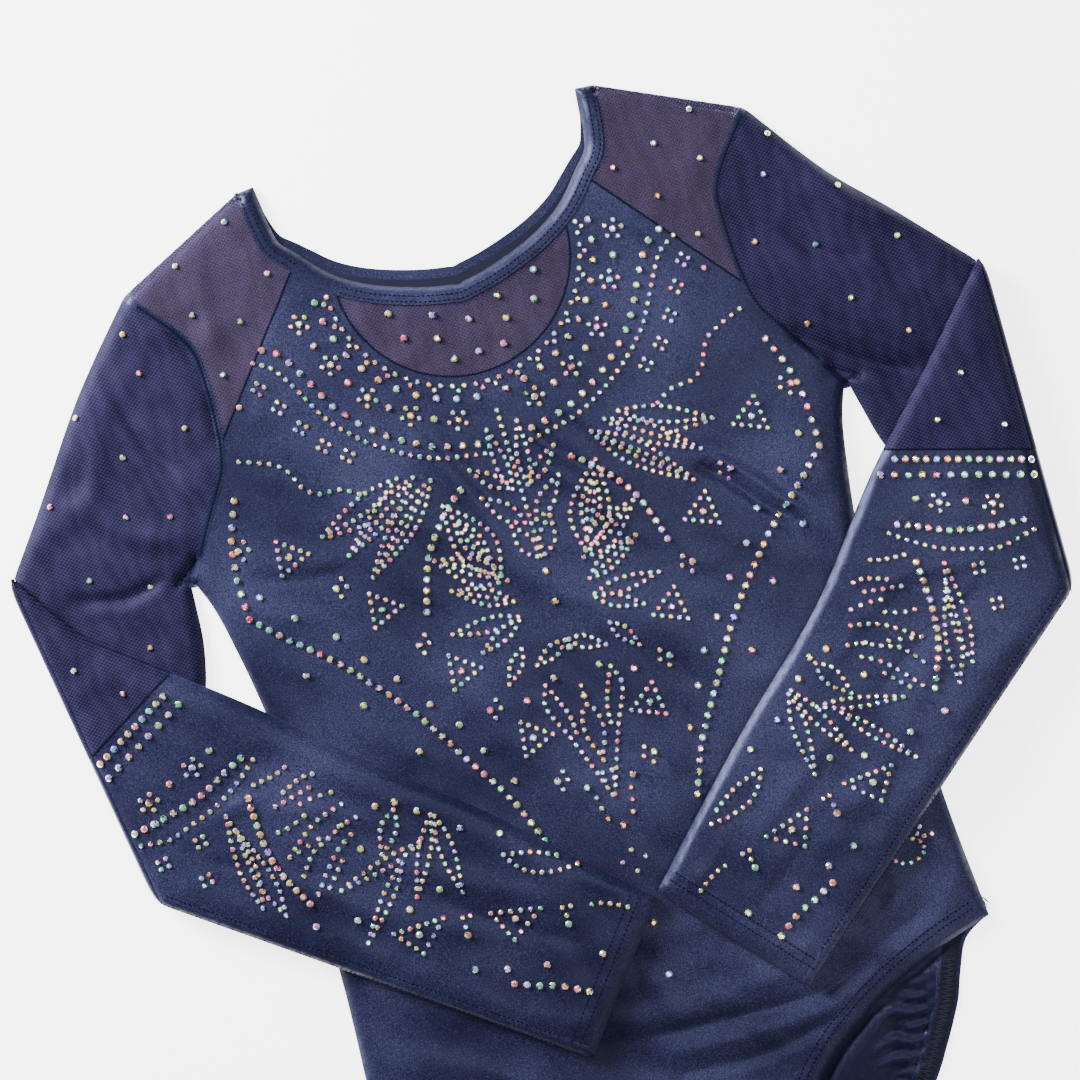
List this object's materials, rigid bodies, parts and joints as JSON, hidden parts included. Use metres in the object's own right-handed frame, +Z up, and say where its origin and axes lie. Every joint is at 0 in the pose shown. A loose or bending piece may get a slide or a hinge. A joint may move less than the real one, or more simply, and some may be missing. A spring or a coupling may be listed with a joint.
{
  "type": "gymnastics leotard",
  "caption": "Long-sleeved competition gymnastics leotard, laid flat with both sleeves folded over at the elbow, with sheer yokes and crystal decoration.",
  "frame": {"origin": "middle of the underside of the garment as it lies flat on its back", "axes": "+X towards the wearer's left, +Y from the crotch towards the neck, +Z up out of the front panel"},
  "size_m": [0.5082, 0.601, 0.0164],
  "materials": {
    "navy_satin": "matt satin spandex with a fine granular sheen",
    "navy_mesh": "power mesh, fine diamond net",
    "sheer_mesh": "see-through navy mesh over a nude lining",
    "nude_lining": "matt nude tricot",
    "elastic": "ribbed woven elastic",
    "seam_trim": "satin binding and overlocked seams",
    "thread": "spun polyester thread",
    "crystal": "iridescent faceted glass stones with foiled backs"
  },
  "bodies": {
    "torso": {"front_body": "navy_satin", "neck_inset_mesh": "sheer_mesh", "right_shoulder_mesh": "sheer_mesh", "left_shoulder_mesh": "sheer_mesh", "back_body": "navy_satin", "back_yoke_mesh": "sheer_mesh", "yoke_lining": "nude_lining", "neck_binding": "seam_trim", "neck_elastic": "elastic", "right_side_seam": "seam_trim", "right_shoulder_seam": "seam_trim", "right_armhole_seam": "seam_trim", "right_leg_hem": "navy_satin", "right_leg_elastic": "elastic", "right_upper_sleeve": "navy_mesh", "right_sleeve_tail": "navy_satin", "right_upper_underarm_seam": "seam_trim", "left_side_seam": "seam_trim", "left_shoulder_seam": "seam_trim", "left_armhole_seam": "seam_trim", "left_leg_hem": "navy_satin", "left_leg_elastic": "elastic", "left_upper_sleeve": "navy_mesh", "left_sleeve_tail": "navy_satin", "left_upper_underarm_seam": "seam_trim", "gusset_lining": "nude_lining", "crotch_seam": "navy_satin"},
    "right_forearm": {"right_elbow_mesh": "navy_mesh", "right_forearm_sleeve": "navy_satin", "right_cuff_hem": "navy_satin", "right_forearm_seam": "seam_trim"},
    "left_forearm": {"left_elbow_mesh": "navy_mesh", "left_forearm_sleeve": "navy_satin", "left_cuff_hem": "navy_satin", "left_forearm_seam": "seam_trim"}
  },
  "joints": [
    {"name": "right_sleeve_fold", "type": "hinge", "parent": "torso", "child": "right_forearm", "pos_m": [-0.25424, 0.14751, 0.0082], "axis": [0.1371, -0.9906, 0], "range_deg": [0, 180]},
    {"name": "left_sleeve_fold", "type": "hinge", "parent": "torso", "child": "left_forearm", "pos_m": [0.25426, 0.15951, 0.0082], "axis": [0.0262, 0.9997, 0], "range_deg": [0, 180]}
  ]
}
